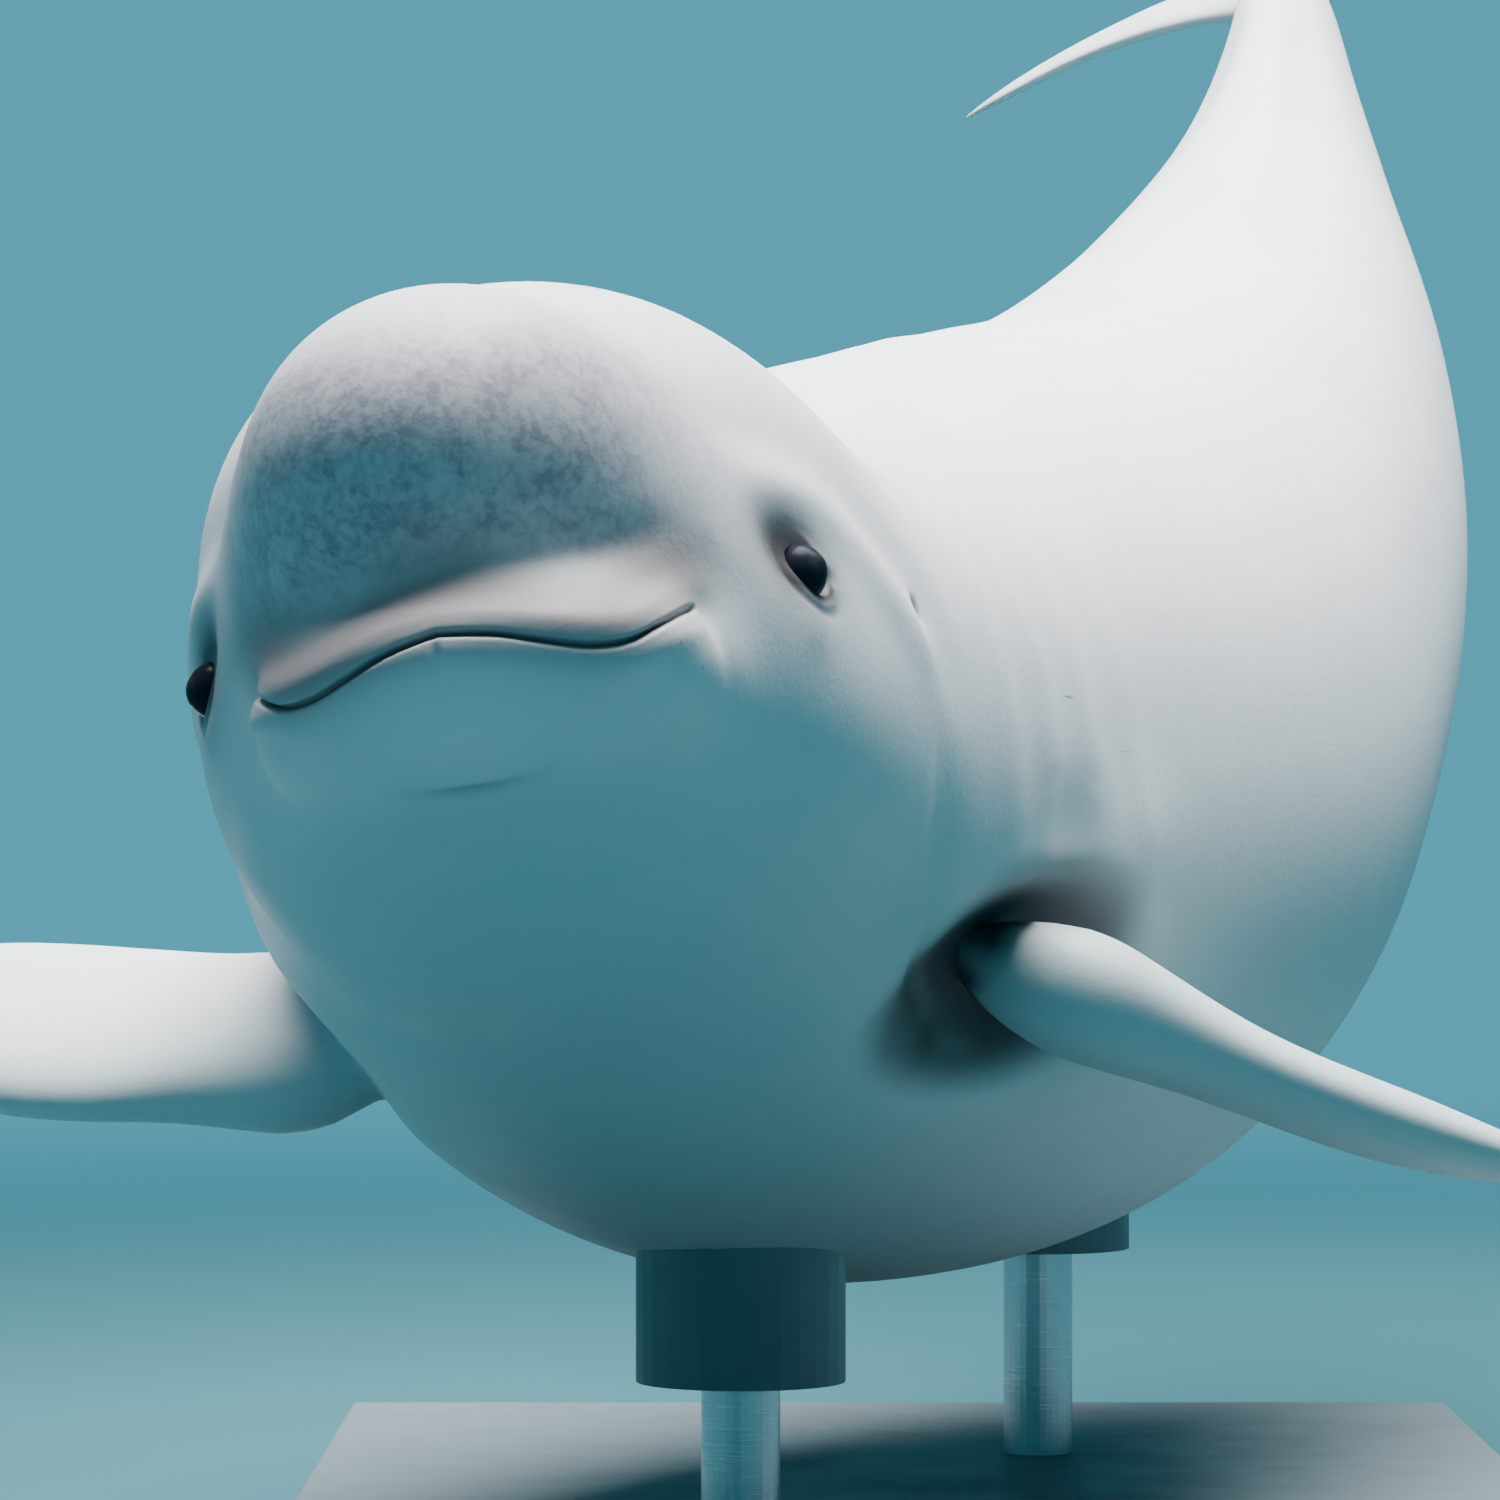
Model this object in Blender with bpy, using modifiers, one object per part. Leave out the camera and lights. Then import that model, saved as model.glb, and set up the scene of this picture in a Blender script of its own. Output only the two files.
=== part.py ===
"""A beluga whale as a still, life-size display model.

The whale hangs level in front of the viewer with its head lifted, its body bent
to its left and its tail raised behind it. It is modelled straight first, in its
own measures: s is the distance back from the snout, y is its left and z is its
back. Then its spine is bent into the pose and the whale is set on its stand.
Metres. In the finished model -Y is where the whale looks and +Z is up.
"""

import math

import bmesh
import bpy
import numpy as np

# Whole body: distance from the snout, half width, height above and below the axis.
TRUNK = np.array([
    (0.34, 0.150, 0.120, 0.130),
    (0.50, 0.228, 0.190, 0.200),
    (0.65, 0.274, 0.236, 0.250),
    (0.80, 0.310, 0.264, 0.290),
    (1.00, 0.346, 0.303, 0.340),
    (1.30, 0.396, 0.355, 0.395),
    (1.60, 0.416, 0.378, 0.420),
    (1.90, 0.398, 0.364, 0.403),
    (2.20, 0.342, 0.322, 0.348),
    (2.50, 0.275, 0.270, 0.286),
    (2.80, 0.195, 0.220, 0.226),
    (3.10, 0.113, 0.166, 0.165),
    (3.30, 0.073, 0.127, 0.124),
    (3.45, 0.054, 0.088, 0.084),
    (3.58, 0.036, 0.046, 0.044),
    (3.68, 0.022, 0.020, 0.020),
])
TRUNK_SQUARENESS = 2.15
TRUNK_FRONT = 0.38
BODY_END = 3.69

# The head is a union of soft masses: centre and radii along s, y and z.
CRANIUM = ((0.400, 0.0, -0.010), (0.270, 0.219, 0.165))
NAPE = ((0.500, 0.0, 0.092), (0.315, 0.225, 0.184))
THROAT = ((0.460, 0.0, -0.080), (0.240, 0.210, 0.125))
MELON = ((0.205, 0.0, 0.065), (0.189, 0.142, 0.134))
MUZZLE = ((0.205, 0.0, -0.083), (0.187, 0.156, 0.074))

# Height of the mouth at each angle round the muzzle, 0 in front, 82 at its corner.
MOUTH_CENTRE = 0.20
MOUTH = np.array([
    (0, -0.078), (12, -0.084), (22, -0.091), (33, -0.0945), (44, -0.090), (54, -0.078),
    (66, -0.065), (78, -0.054), (90, -0.045),
])

EYE_RADIUS = 0.020
EYE_S = 0.33
EYE_SINK = 0.011
GAP = 0.0003

# Where the rays that find the skin leave the axis in front of this they fan out.
FAN_CENTRE = 0.26
FAN_SHARE = 0.30
AROUND = 40
ALONG = 53

FLIPPER_LENGTH = 0.56
FLIPPER_CUT = 0.190
FLIPPER_HALF_CHORD = np.array([
    (0, 0.110), (0.2, 0.104), (0.35, 0.098), (0.53, 0.102), (0.77, 0.100), (1.0, 0.085),
])
FLIPPER_SWEEP = np.array([(0, 0.0), (0.3, 0.004), (0.6, 0.014), (1.0, 0.040)])
FLIPPER_THICK = np.array([
    (0, 0.110), (0.2, 0.092), (0.40, 0.064), (0.72, 0.052), (1.0, 0.026),
])
FLIPPER_CURL = 0.038
# Root, direction of the span and direction from the leading to the trailing edge.
FLIPPERS = {
    "flipper_left": ((0.892, 0.209, -0.171), (0.395, 0.768, -0.500), (0.96, -0.16, -0.05)),
    "flipper_right": ((0.975, -0.222, -0.160), (0.155, -0.970, 0.130), (0.76, -0.05, 0.65)),
}

FLUKE_SPAN = 0.385
FLUKE_FRONT = np.array([
    (0, 3.44), (0.06, 3.470), (0.15, 3.500), (0.4, 3.555), (0.7, 3.625), (0.9, 3.685), (1, 3.755),
])
FLUKE_BACK = np.array([
    (0, 3.705), (0.05, 3.725), (0.2, 3.780), (0.45, 3.818), (0.75, 3.810), (0.92, 3.785), (1, 3.755),
])
FLUKE_THICK = np.array([(0, 0.070), (0.12, 0.044), (0.4, 0.028), (0.8, 0.016), (1, 0.010)])
FLUKE_RISE = 0.012
FLUKE_DROOP = 0.070

# Places where thin cuts part the body, and the names of the pieces between them.
CUTS = (0.455, 0.80, 1.40, 2.10, 2.78, 3.41)
TRUNK_NAMES = ("head", "neck", "chest", "belly", "flank", "tail_stock")
JAW_CUT_HEIGHT = -0.080
JAW_CUT_BACK = 0.20

# Heading, lift and roll of the spine in degrees at distances from the snout.
POSE = np.array([
    (0.00, 8.5, -12.0, 11.3),
    (0.45, 8.5, -12.0, 11.3),
    (0.90, 12.0, -6.1, 10.0),
    (1.30, 18.5, -0.9, 10.0),
    (1.70, 18.5, 8.4, 10.0),
    (2.10, 23.5, 18.4, 10.0),
    (2.50, 21.3, 29.9, 10.0),
    (2.90, 13.6, 35.2, 11.0),
    (3.25, 5.5, 40.0, 13.0),
    (3.45, 2.0, 34.0, 14.0),
    (3.60, 2.0, 13.0, 14.0),
    (3.85, 2.0, 6.0, 14.0),
])
HEAD_PLACE = (-0.317, -1.224, 0.777)

STAND_SIZE = (1.10, 1.70, 0.040)
STAND_BEVEL = 0.006
ROD_RADIUS = 0.032
PAD_RADIUS = 0.085
PAD_HEIGHT = 0.075
# Each rod stands under the spine at this distance from the snout.
RODS = {"front": 1.17, "rear": 2.02}

WHITE_SKIN = (0.82, 0.83, 0.85, 1.0)
DARK_EYE = (0.012, 0.010, 0.010, 1.0)
STAND_PAINT = (0.14, 0.18, 0.20, 1.0)
STEEL = (0.55, 0.56, 0.58, 1.0)


def curve(x, table, column=1):
    """A smooth curve through the rows of a table, level beyond its ends."""
    xs, ys = table[:, 0], table[:, column]
    slope = np.gradient(ys, xs)
    x = np.clip(x, xs[0], xs[-1])
    i = np.clip(np.searchsorted(xs, x) - 1, 0, len(xs) - 2)
    h = xs[i + 1] - xs[i]
    t = (x - xs[i]) / h
    return (
        ys[i] * (2 * t**3 - 3 * t**2 + 1)
        + slope[i] * h * (t**3 - 2 * t**2 + t)
        + ys[i + 1] * (3 * t**2 - 2 * t**3)
        + slope[i + 1] * h * (t**3 - t**2)
    )


def ease(x, start, end):
    t = np.clip((x - start) / (end - start), 0, 1)
    return t * t * (3 - 2 * t)


def bump(x, centre, width):
    return np.exp(-(((x - centre) / width) ** 2))


def join(a, b, blend):
    """The union of two distance fields with a rounded valley between them."""
    t = np.clip(0.5 + 0.5 * (b - a) / blend, 0, 1)
    return b + (a - b) * t - blend * t * (1 - t)


def mass(p, form):
    """Rough distance to an ellipsoid, negative inside it."""
    q = p - np.array(form[0])
    near = np.linalg.norm(q / np.array(form[1]), axis=-1)
    slope = np.linalg.norm(q / np.array(form[1]) ** 2, axis=-1)
    return near * (near - 1) / np.maximum(slope, 1e-9)


def trunk(p):
    s, y, z = p[..., 0], p[..., 1], p[..., 2]
    width = curve(s, TRUNK, 1)
    height = np.where(z > 0, curve(s, TRUNK, 2), curve(s, TRUNK, 3))
    n = TRUNK_SQUARENESS
    ratio = ((np.abs(y) / width) ** n + (np.abs(z) / height) ** n) ** (1 / n)
    away = np.sqrt(y * y + z * z) + 1e-9
    tube = away * (1 - 1 / np.maximum(ratio, 1e-6))
    tube = -join(-tube, s - TRUNK_FRONT, 0.10)
    return -join(-tube, BODY_END - s, 0.02)


def lips(p):
    """How far the lips stand out, and how far the mouth and the chin fold sink."""
    s, y, z = p[..., 0], p[..., 1], p[..., 2]
    angle = np.degrees(np.arctan2(np.abs(y), MOUTH_CENTRE - s))
    above = z - curve(angle, MOUTH)
    fade = 1 - ease(angle, 66, 100)
    upper = 0.005 * bump(above, 0.023, 0.017)
    crease = 0.006 * bump(above, 0.050, 0.014) * (1 - ease(angle, 35, 85))
    lower = 0.004 * bump(above, -0.014, 0.012)
    chin = 0.003 * bump(above, -0.036, 0.014)
    return fade * (upper - crease + lower - chin)


def body(p):
    """Distance to the whale's skin without its fins."""
    d = join(mass(p, CRANIUM), mass(p, NAPE), 0.06)
    d = join(d, mass(p, THROAT), 0.08)
    d = join(d, trunk(p), 0.10)
    d = join(d, mass(p, MELON), 0.075)
    d = join(d, mass(p, MUZZLE), 0.045)
    return d - lips(p)


def reach(start, direction, far=0.6):
    """The last point of each ray that is inside the body."""
    steps = np.linspace(0.0, far, 21)
    inside = np.zeros(len(start))
    for step in steps:
        field = body(start + direction * step)
        inside = np.where(field < 0, step, inside)
    low, high = inside, inside + steps[1]
    for _ in range(24):
        middle = 0.5 * (low + high)
        out = body(start + direction * middle[:, None]) > 0
        low, high = np.where(out, low, middle), np.where(out, middle, high)
    return start + direction * low[:, None]


def sphere_angles(mesh):
    """Each vertex of a unit sphere as its angle round the Z axis and its share of the way up."""
    co = np.array([v.co[:] for v in mesh.verts])
    around = np.arctan2(co[:, 1], co[:, 0])
    share = np.arccos(np.clip(-co[:, 2], -1, 1)) / math.pi
    return around, share


def face_out(mesh):
    """Turns the faces of one closed body round if they point inwards."""
    mesh.normal_update()
    if mesh.calc_volume(signed=True) < 0:
        bmesh.ops.reverse_faces(mesh, faces=mesh.faces)


def shaped_sphere(around_count, along_count, shape):
    """A unit sphere whose vertices are moved to where shape(around, share) puts them."""
    mesh = bmesh.new()
    bmesh.ops.create_uvsphere(mesh, u_segments=around_count, v_segments=along_count, radius=1)
    places = shape(*sphere_angles(mesh))
    for vertex, place in zip(mesh.verts, places):
        vertex.co = place
    face_out(mesh)
    return mesh


def body_place(around, share):
    """The skin in front of the fan's centre by rays that fan out, behind it by level ones."""
    fan = np.clip(share / FAN_SHARE, 0, 1) * math.pi / 2
    back = np.clip((share - FAN_SHARE) / (1 - FAN_SHARE), 0, 1) ** 1.25
    start = np.zeros((len(share), 3))
    start[:, 0] = FAN_CENTRE + back * (BODY_END + 0.005 - FAN_CENTRE)
    direction = np.stack([
        -np.cos(fan),
        np.sin(fan) * np.cos(around),
        np.sin(fan) * np.sin(around),
    ], -1)
    return reach(start, direction)


def flipper_axes(span, chord):
    span = np.array(span) / np.linalg.norm(span)
    chord = np.array(chord) - span * np.dot(chord, span)
    chord = chord / np.linalg.norm(chord)
    up = np.cross(span, chord)
    return span, chord, up if up[2] > 0 else -up


def flipper_place(root, span, chord):
    span, chord, up = flipper_axes(span, chord)

    def place(around, share):
        along = share**0.8
        tip = np.sqrt(np.clip(1 - np.clip((along - 0.52) / 0.48, 0, 1) ** 2.6, 0, 1))
        half = curve(along, FLIPPER_HALF_CHORD) * tip
        start = np.sqrt(1 - (1 - np.clip(share / 0.15, 0, 1)) ** 2)
        half = half * start
        thick = 0.5 * curve(along, FLIPPER_THICK) * (0.25 + 0.75 * tip)
        thick = thick * start * np.where(share > 0.999, 0, 1)
        back = curve(along, FLIPPER_SWEEP) - half * np.cos(around)
        lift = thick * np.sin(around) * (1 + 0.35 * np.cos(around))
        lift = lift + FLIPPER_CURL * np.clip((along - 0.4) / 0.6, 0, 1) ** 2
        out = (along * FLIPPER_LENGTH)[:, None] * span
        return np.array(root) + out + back[:, None] * chord + lift[:, None] * up

    return place


def fluke_place(around, share):
    """Both flukes as one blade from tip to tip."""
    y = -np.cos(share * math.pi)
    away = np.abs(y)
    front, back = curve(away, FLUKE_FRONT), curve(away, FLUKE_BACK)
    half = 0.5 * (back - front)
    thick = 0.5 * curve(away, FLUKE_THICK) * np.where(away > 0.9999, 0, 1)
    s = 0.5 * (front + back) - half * np.cos(around)
    z = thick * np.sin(around) * (1 + 0.4 * np.cos(around))
    z = z + FLUKE_RISE - FLUKE_DROOP * away**2
    return np.stack([s, y * FLUKE_SPAN, z], -1)


def spine():
    """Points on the bent spine and the three directions of the body at each."""
    steps = np.linspace(0, 3.9, 1561)
    yaw, lift, roll = (np.radians(curve(steps, POSE, k)) for k in (1, 2, 3))
    back = np.stack([np.sin(yaw) * np.cos(lift), np.cos(yaw) * np.cos(lift), np.sin(lift)], -1)
    level = np.stack([np.cos(yaw), -np.sin(yaw), 0 * yaw], -1)
    rise = np.cross(level, back)
    left = np.cos(roll)[:, None] * level + np.sin(roll)[:, None] * rise
    up = np.cos(roll)[:, None] * rise - np.sin(roll)[:, None] * level
    middle = 0.5 * (back[1:] + back[:-1]) * np.diff(steps)[:, None]
    path = np.concatenate([np.zeros((1, 3)), np.cumsum(middle, 0)])
    eyes = np.array([np.interp(EYE_S, steps, path[:, k]) for k in range(3)])
    return steps, path - eyes + np.array(HEAD_PLACE), left, up, back


SPINE = spine()


def bend(points):
    """Straight whale to posed whale."""
    steps, path, left, up, back = SPINE
    s = points[:, 0]
    inside = np.clip(s, 0, steps[-1])

    def at(values):
        return np.stack([np.interp(inside, steps, values[:, k]) for k in range(3)], -1)

    ahead = (s - inside)[:, None] * at(back)
    return at(path) + ahead + points[:, 1:2] * at(left) + points[:, 2:3] * at(up)


def paint(name, colour, roughness, metallic=0.0):
    material = bpy.data.materials.new(name)
    material.use_nodes = True
    shader = material.node_tree.nodes["Principled BSDF"]
    shader.inputs["Base Color"].default_value = colour
    shader.inputs["Roughness"].default_value = roughness
    shader.inputs["Metallic"].default_value = metallic
    material.diffuse_color = colour
    return material


def add(name, mesh, collection, material=None):
    """A bmesh as a new object."""
    data = bpy.data.meshes.new(name)
    mesh.to_mesh(data)
    mesh.free()
    obj = bpy.data.objects.new(name, data)
    collection.objects.link(obj)
    if material:
        data.materials.append(material)
    return obj


def combine(obj, other, operation):
    """Applies a Boolean with another object, and removes that object."""
    modifier = obj.modifiers.new(operation.lower(), "BOOLEAN")
    modifier.operation = operation
    modifier.object = other
    modifier.solver = "EXACT"
    graph = bpy.context.evaluated_depsgraph_get()
    data = bpy.data.meshes.new_from_object(obj.evaluated_get(graph))
    obj.modifiers.remove(modifier)
    old = obj.data
    obj.data = data
    bpy.data.meshes.remove(old)
    bpy.data.objects.remove(other)


def box(size, centre, turn=None):
    """A cuboid bmesh, turned by three direction rows if they are given."""
    mesh = bmesh.new()
    bmesh.ops.create_cube(mesh, size=1)
    for vertex in mesh.verts:
        place = np.array(vertex.co) * np.array(size)
        place = place @ turn if turn is not None else place
        vertex.co = np.array(centre) + place
    face_out(mesh)
    return mesh


def ball(radius, centre, around=14, along=9):
    mesh = bmesh.new()
    bmesh.ops.create_uvsphere(mesh, u_segments=around, v_segments=along, radius=radius)
    bmesh.ops.translate(mesh, verts=mesh.verts, vec=centre)
    return mesh


def eye_centre(side):
    """A point a little under the skin, on the level of the axis."""
    start = np.array([[EYE_S, 0.0, 0.0]])
    outward = np.array([[0.0, side, 0.0]])
    skin = reach(start, outward)
    step = 0.001
    slope = np.array([
        body(skin + np.eye(3)[k] * step)[0] - body(skin - np.eye(3)[k] * step)[0] for k in range(3)
    ])
    return skin[0] - EYE_SINK * slope / np.linalg.norm(slope)


def whole_whale(cutters):
    whale = add("whale", shaped_sphere(AROUND, ALONG, body_place), cutters)
    blade = add("blade", shaped_sphere(12, 27, fluke_place), cutters)
    combine(whale, blade, "UNION")
    for name, (root, span, chord) in FLIPPERS.items():
        paddle = shaped_sphere(14, 15, flipper_place(root, span, chord))
        combine(whale, add(name, paddle, cutters), "UNION")
    mesh = bmesh.new()
    mesh.from_mesh(whale.data)
    bmesh.ops.triangulate(mesh, faces=mesh.faces)
    mesh.to_mesh(whale.data)
    mesh.free()
    return whale


def jaw_sheet(cutters):
    """A thin sheet that runs back at the height of the mouth and then down."""
    outer = box((0.5, 1.0, 0.5), (JAW_CUT_BACK - 0.25, 0, JAW_CUT_HEIGHT - 0.25))
    sheet = add("cut", outer, cutters)
    inner = box((0.5, 1.2, 0.5), (JAW_CUT_BACK - 0.25 - GAP, 0, JAW_CUT_HEIGHT - 0.25 - GAP))
    combine(sheet, add("cut", inner, cutters), "DIFFERENCE")
    return sheet


def part_body(whale, cutters):
    """Cuts the straight whale into its pieces, each a gap away from the next."""
    for s in CUTS:
        combine(whale, add("cut", box((GAP, 2, 2), (s, 0, 0)), cutters), "DIFFERENCE")
    half = box((0.6, GAP, 0.5), (CUTS[-1] + 0.3, 0, 0))
    combine(whale, add("cut", half, cutters), "DIFFERENCE")
    for root, span, chord in FLIPPERS.values():
        out, across, up = flipper_axes(span, chord)
        place = np.array(root) + FLIPPER_CUT * out
        slab = box((GAP, 0.24, 0.13), place, np.stack([out, across, up]))
        combine(whale, add("cut", slab, cutters), "DIFFERENCE")
    combine(whale, jaw_sheet(cutters), "DIFFERENCE")
    for side in (1, -1):
        socket = ball(EYE_RADIUS + GAP, eye_centre(side))
        combine(whale, add("socket", socket, cutters), "DIFFERENCE")


def islands(mesh):
    """The separate bodies of a bmesh as lists of vertices."""
    left = set(mesh.verts)
    found = []
    while left:
        seed = left.pop()
        island, front = [seed], [seed]
        while front:
            vertex = front.pop()
            for edge in vertex.link_edges:
                other = edge.other_vert(vertex)
                if other in left:
                    left.discard(other)
                    island.append(other)
                    front.append(other)
        found.append(island)
    return found


def piece_name(points):
    """Names a piece of the straight whale by where it lies."""
    low, high = points.min(0), points.max(0)
    middle = 0.5 * (low + high)
    if low[0] > CUTS[-1]:
        return "fluke_left" if middle[1] > 0 else "fluke_right"
    if high[0] < CUTS[0] and high[2] < JAW_CUT_HEIGHT + 0.001:
        return "jaw"
    if high[0] - low[0] < 0.45 and abs(middle[1]) > 0.25:
        return "flipper_left" if middle[1] > 0 else "flipper_right"
    return TRUNK_NAMES[int(np.searchsorted(CUTS, middle[0]))]


def split(whale, collection, skin):
    """Makes one bent object of each separate body."""
    source = bmesh.new()
    source.from_mesh(whale.data)
    bmesh.ops.triangulate(source, faces=source.faces)
    groups = []
    for island in islands(source):
        points = np.array([vertex.co[:] for vertex in island])
        groups.append((piece_name(points), {vertex.index for vertex in island}))
    source.free()
    for name, kept in groups:
        mesh = bmesh.new()
        mesh.from_mesh(whale.data)
        bmesh.ops.triangulate(mesh, faces=mesh.faces)
        mesh.verts.ensure_lookup_table()
        others = [vertex for vertex in mesh.verts if vertex.index not in kept]
        bmesh.ops.delete(mesh, geom=others, context="VERTS")
        bend_mesh(mesh)
        add(name, mesh, collection, skin)


def bend_mesh(mesh):
    """Bends a straight mesh, whose left-handed measures turn it inside out on the way."""
    for vertex, place in zip(mesh.verts, bend(np.array([v.co[:] for v in mesh.verts]))):
        vertex.co = place
    face_out(mesh)


def swollen(whale):
    """A bent copy of the uncut whale, larger all round by the gap."""
    mesh = bmesh.new()
    mesh.from_mesh(whale.data)
    bend_mesh(mesh)
    mesh.normal_update()
    shift = {vertex: vertex.normal * GAP * 1.6 for vertex in mesh.verts}
    for vertex, step in shift.items():
        vertex.co += step
    return mesh


def round_bar(radius, low, high, place):
    mesh = bmesh.new()
    bmesh.ops.create_cone(
        mesh, cap_ends=True, segments=32, radius1=radius, radius2=radius, depth=high - low
    )
    bmesh.ops.translate(mesh, verts=mesh.verts, vec=(*place, 0.5 * (low + high)))
    return mesh


def stand(whale, collection, cutters):
    """A flat plate, and two rods that end in pads under the chest and the belly."""
    plate_paint = paint("stand_paint", STAND_PAINT, 0.5)
    steel = paint("stand_steel", STEEL, 0.3, 1.0)
    width, length, height = STAND_SIZE
    plate = add("stand_base", box(STAND_SIZE, (0, 0, height / 2)), collection, plate_paint)
    rounding = plate.modifiers.new("edges", "BEVEL")
    rounding.width = STAND_BEVEL
    rounding.segments = 3
    for name, s in RODS.items():
        place = bend(np.array([[s, 0.0, 0.0]]))[0, :2]
        reach_up = belly_height(whale, place)
        pad_low = reach_up - PAD_HEIGHT
        rod = round_bar(ROD_RADIUS, height + GAP, pad_low - GAP, place)
        add(f"stand_rod_{name}", rod, collection, steel)
        pad = add(
            f"stand_pad_{name}",
            round_bar(PAD_RADIUS, pad_low, reach_up + 0.20, place),
            collection,
            plate_paint,
        )
        combine(pad, add("swollen", swollen(whale), cutters), "DIFFERENCE")
        keep_lowest(pad)


def belly_height(whale, place):
    """The lowest height of the whale's skin above the pad at this place."""
    points = bend(np.array([v.co[:] for v in whale.data.vertices]))
    near = np.hypot(points[:, 0] - place[0], points[:, 1] - place[1]) < PAD_RADIUS * 1.3
    return float(points[near, 2].min())


def keep_lowest(obj):
    """Keeps the body of a mesh that lies lowest."""
    mesh = bmesh.new()
    mesh.from_mesh(obj.data)
    groups = sorted(islands(mesh), key=lambda group: min(vertex.co.z for vertex in group))
    extra = [vertex for group in groups[1:] for vertex in group]
    bmesh.ops.delete(mesh, geom=extra, context="VERTS")
    mesh.to_mesh(obj.data)
    mesh.free()


def main():
    for obj in list(bpy.data.objects):
        bpy.data.objects.remove(obj)
    scene = bpy.context.scene.collection
    parts = bpy.data.collections.new("beluga_whale")
    cutters = bpy.data.collections.new("cutters")
    scene.children.link(parts)
    scene.children.link(cutters)
    skin = paint("white_skin", WHITE_SKIN, 0.45)
    eye = paint("dark_eye", DARK_EYE, 0.08)
    whale = whole_whale(cutters)
    stand(whale, parts, cutters)
    part_body(whale, cutters)
    split(whale, parts, skin)
    bpy.data.objects.remove(whale)
    for name, side in (("eye_left", 1), ("eye_right", -1)):
        mesh = ball(EYE_RADIUS, eye_centre(side))
        bend_mesh(mesh)
        add(name, mesh, parts, eye)
    for obj in parts.objects:
        obj.data.shade_smooth()


main()
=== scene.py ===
"""The beluga whale's skin, eyes, stand finish, floor, lights and camera.

The skin is found straight, by rays from the body's axis, and bent into the pose:
s is the distance back from the snout, y is the whale's left and z is its back.
Sizes are in metres.
"""

import math

import bmesh
import bpy
import numpy as np
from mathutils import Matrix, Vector


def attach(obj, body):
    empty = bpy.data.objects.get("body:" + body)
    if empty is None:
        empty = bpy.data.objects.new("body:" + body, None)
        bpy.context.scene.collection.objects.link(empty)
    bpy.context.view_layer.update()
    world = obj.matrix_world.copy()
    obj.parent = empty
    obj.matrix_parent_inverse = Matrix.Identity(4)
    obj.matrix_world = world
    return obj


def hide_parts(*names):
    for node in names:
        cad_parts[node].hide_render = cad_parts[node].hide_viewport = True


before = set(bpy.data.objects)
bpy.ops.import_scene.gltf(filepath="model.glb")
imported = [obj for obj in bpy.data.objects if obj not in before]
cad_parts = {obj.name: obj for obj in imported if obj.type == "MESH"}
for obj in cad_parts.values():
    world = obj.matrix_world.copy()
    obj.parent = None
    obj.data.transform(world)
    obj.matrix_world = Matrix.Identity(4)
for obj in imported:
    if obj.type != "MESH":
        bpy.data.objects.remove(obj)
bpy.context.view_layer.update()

# The straight body: distance from the snout, half width, height above and below the axis.
TRUNK = np.array([
    (0.34, 0.150, 0.120, 0.130),
    (0.50, 0.228, 0.190, 0.200),
    (0.65, 0.274, 0.236, 0.250),
    (0.80, 0.310, 0.264, 0.290),
    (1.00, 0.346, 0.303, 0.340),
    (1.30, 0.396, 0.355, 0.395),
    (1.60, 0.416, 0.378, 0.420),
    (1.90, 0.398, 0.364, 0.403),
    (2.20, 0.342, 0.322, 0.348),
    (2.50, 0.275, 0.270, 0.286),
    (2.80, 0.195, 0.220, 0.226),
    (3.10, 0.113, 0.166, 0.165),
    (3.30, 0.073, 0.127, 0.124),
    (3.45, 0.054, 0.088, 0.084),
    (3.58, 0.036, 0.046, 0.044),
    (3.68, 0.022, 0.020, 0.020),
])
# 2 would make the trunk's rings plain ellipses.
TRUNK_SQUARENESS = 2.15
TRUNK_FRONT = 0.38
BODY_END = 3.69

# Soft masses of the head: centre and radii along s, y and z.
CRANIUM = ((0.400, 0.0, -0.010), (0.270, 0.219, 0.165))
NAPE = ((0.500, 0.0, 0.092), (0.315, 0.225, 0.184))
THROAT = ((0.460, 0.0, -0.080), (0.240, 0.210, 0.125))
MELON = ((0.205, 0.0, 0.065), (0.189, 0.142, 0.134))
MUZZLE = ((0.205, 0.0, -0.083), (0.187, 0.156, 0.074))

# Height of the mouth at each angle round the muzzle, 0 in front, 82 at its corner.
MOUTH_CENTRE = 0.20
MOUTH = np.array([
    (0, -0.078), (12, -0.084), (22, -0.091), (33, -0.0945), (44, -0.090), (54, -0.078),
    (66, -0.065), (78, -0.054), (90, -0.045),
])

# Height of the crease between the brow and the upper lip at each of those angles.
BROW_CREASE = np.array([(0, -0.027), (20, -0.026), (45, -0.018), (62, -0.010), (90, 0.010)])

# The eye's distance from the snout, its radius, and how deep its middle lies under the skin.
EYE_S = 0.33
EYE_RADIUS = 0.020
EYE_SINK = 0.011
CORNEA_RISE = 0.0008
# Which way each eye looks on the straight whale: back, out to its side and up.
GAZE = (-0.45, 0.89, -0.02)

# Lines on the side of the head and neck: distance from the snout, out from the middle, height.
BROW_RIDGE = (
    (0.240, 0.175, 0.056), (0.292, 0.192, 0.058), (0.363, 0.217, 0.059), (0.413, 0.233, 0.044),
    (0.453, 0.243, 0.028), (0.529, 0.256, 0.006), (0.585, 0.266, -0.018), (0.610, 0.262, -0.060),
)
EAR = (0.575, 0.262, 0.020)
CHIN = (0.146, -0.012, -0.153)
CHEEK = ((0.180, 0.152, -0.058), (0.206, 0.160, -0.080), (0.227, 0.156, -0.105))
NECK_FOLD = (
    (0.613, 0.265, -0.040), (0.623, 0.257, -0.080), (0.645, 0.243, -0.126), (0.681, 0.224, -0.167),
    (0.726, 0.205, -0.203), (0.792, 0.199, -0.229), (0.880, 0.197, -0.257),
)
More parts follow.
